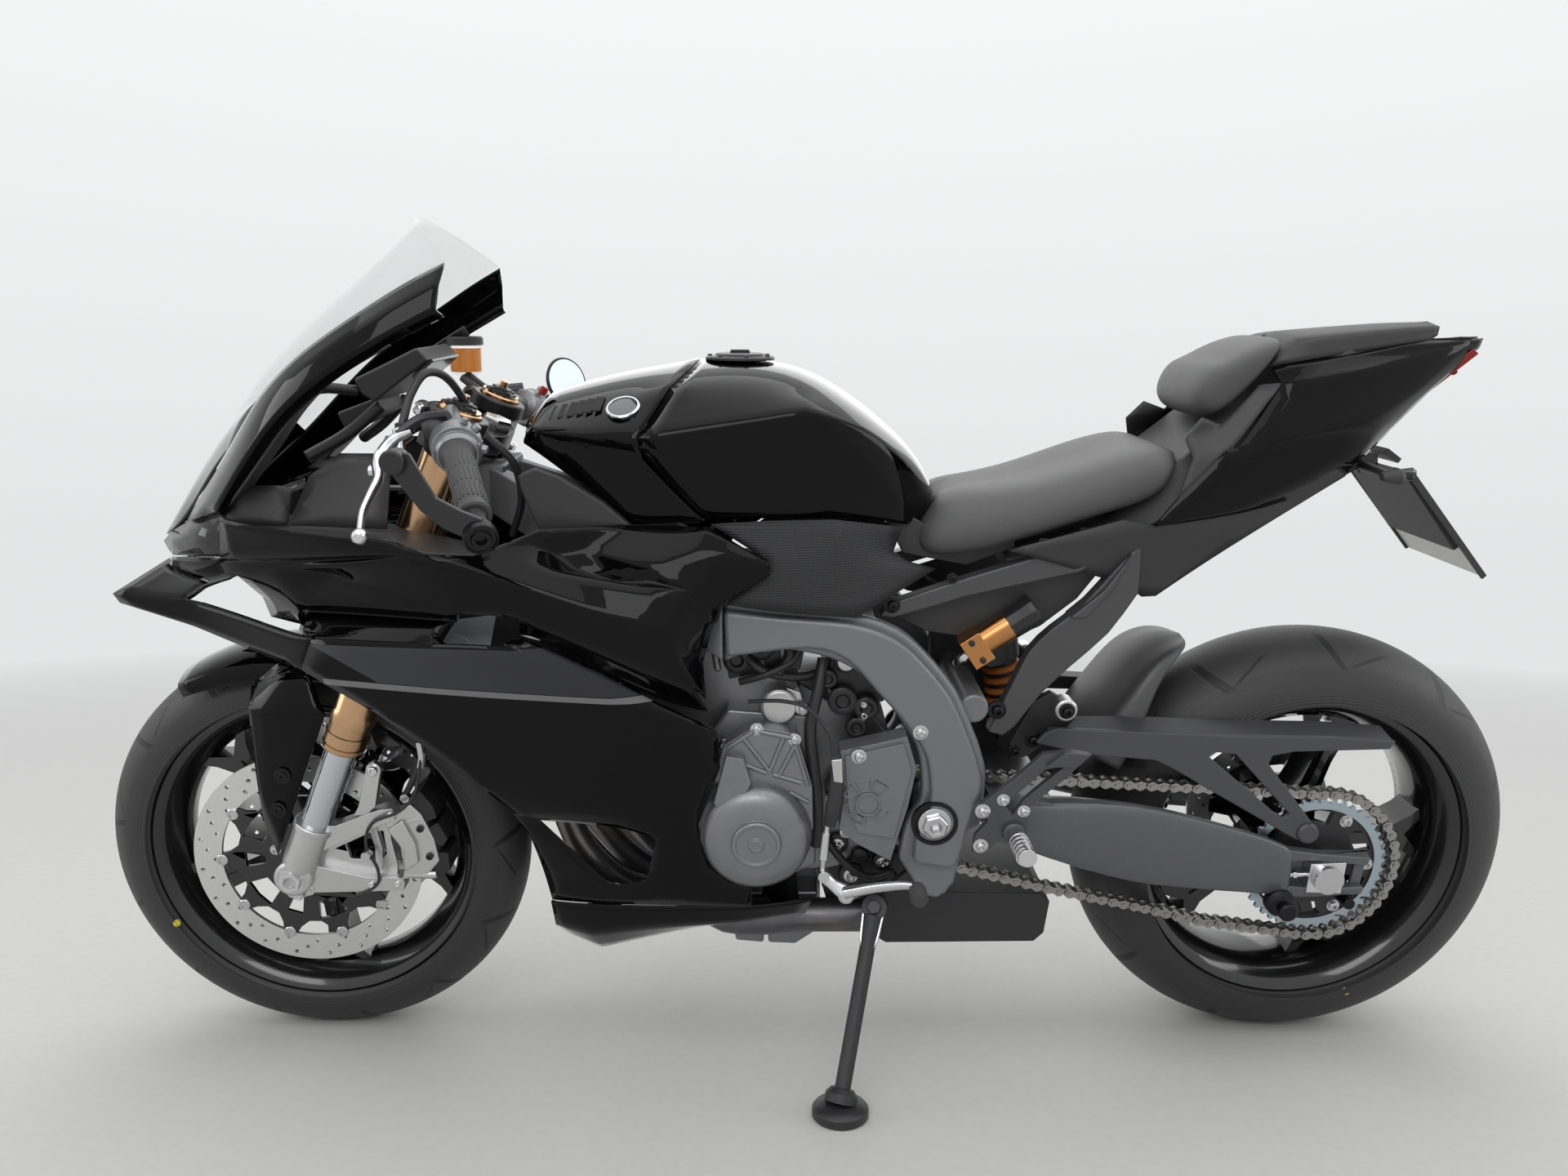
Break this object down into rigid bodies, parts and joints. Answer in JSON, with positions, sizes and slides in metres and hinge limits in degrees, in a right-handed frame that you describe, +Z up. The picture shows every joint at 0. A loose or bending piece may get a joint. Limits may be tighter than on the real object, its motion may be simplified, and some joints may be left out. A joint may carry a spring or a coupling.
{
  "type": "sport motorcycle",
  "caption": "Faired sport motorcycle leaning on its side stand, with turning wheels, steering fork, chain drive, windscreen, single seat and tail pad.",
  "frame": {"origin": "on the floor, at the middle of the parked machine's box", "axes": "+X to the front of the machine, +Y to the rider's left, +Z up; it leans 12 degrees to its left on the side stand"},
  "size_m": [2.035, 0.784, 1.1472],
  "materials": {
    "frame_black": "satin",
    "engine_grey": "satin",
    "exhaust_black": "matt",
    "gloss_black": "gloss",
    "matt_black": "matt",
    "textured_black": "fine diamond texture",
    "seat_leather": "fine grain",
    "red_lens": "gloss",
    "plate_white": "gloss",
    "clear_screen": "clear",
    "lamp_lens": "clear",
    "bare_aluminium": "cast and machined",
    "bronze_anodised": "anodised",
    "chain_steel": "oiled",
    "chrome_tube": "polished",
    "grip_rubber": "matt",
    "fluid_amber": "clear",
    "mirror_glass": "polished",
    "tyre_rubber": "matt",
    "wheel_black": "gloss",
    "disc_steel": "brushed",
    "zinc_steel": "zinc plated"
  },
  "bodies": {
    "steering": {"bar_end_mirror": "mirror_glass", "brake_hoses": "grip_rubber", "brake_reservoir": "fluid_amber", "fork_bottoms": "bare_aluminium", "fork_stanchions": "chrome_tube", "fork_tubes": "bronze_anodised", "front_axle": "bare_aluminium", "front_calipers": "bare_aluminium", "front_fender": "gloss_black", "grips": "grip_rubber", "hand_levers": "bare_aluminium", "handlebars": "frame_black", "lever_guard": "matt_black", "triple_clamps": "frame_black"},
    "chassis": {"belly_pan": "gloss_black", "drive_chain": "chain_steel", "engine_block": "engine_grey", "exhaust": "exhaust_black", "foot_levers": "bare_aluminium", "footrests": "frame_black", "fuel_tank": "gloss_black", "headlight": "lamp_lens", "inner_cowl": "matt_black", "instrument_panel": "matt_black", "knee_covers": "textured_black", "lower_fairings": "gloss_black", "main_frame": "frame_black", "nose_cowl": "gloss_black", "number_plate": "plate_white", "plate_bracket": "matt_black", "radiator": "engine_grey", "rear_axle": "bare_aluminium", "rear_caliper": "engine_grey", "rear_hugger": "matt_black", "rear_shock": "bronze_anodised", "rider_seat": "seat_leather", "subframe": "frame_black", "swingarm": "frame_black", "tail_fairing": "gloss_black", "tail_light": "red_lens", "tail_pad": "seat_leather", "tail_undertray": "matt_black", "tank_cover": "gloss_black", "upper_fairings": "gloss_black", "windscreen": "clear_screen", "winglets": "gloss_black"},
    "front_wheel": {"front_discs": "disc_steel", "front_rim": "wheel_black", "front_tyre": "tyre_rubber"},
    "rear_wheel": {"rear_disc": "disc_steel", "rear_rim": "wheel_black", "rear_sprocket": "zinc_steel", "rear_tyre": "tyre_rubber"},
    "side_stand": {"stand_leg": "frame_black", "stand_puck": "matt_black"}
  },
  "joints": [
    {"name": "steering_turn", "type": "hinge", "parent": "chassis", "child": "steering", "pos_m": [0.65791, -0.09541, 0.36127], "axis": [-0.384, 0.192, 0.9032], "range_deg": [-24, 24]},
    {"name": "front_wheel_spin", "type": "hinge", "parent": "steering", "child": "front_wheel", "pos_m": [0.7175, -0.10955, 0.29476], "axis": [0, 0.9781, -0.2079], "continuous": true},
    {"name": "rear_wheel_spin", "type": "hinge", "parent": "chassis", "child": "rear_wheel", "pos_m": [-0.7025, -0.10628, 0.31013], "axis": [0, 0.9781, -0.2079], "continuous": true},
    {"name": "side_stand_fold", "type": "hinge", "parent": "chassis", "child": "side_stand", "pos_m": [-0.0795, 0.04901, 0.2423], "axis": [0.1373, 0.9118, 0.3869], "range_deg": [0, 93]}
  ]
}
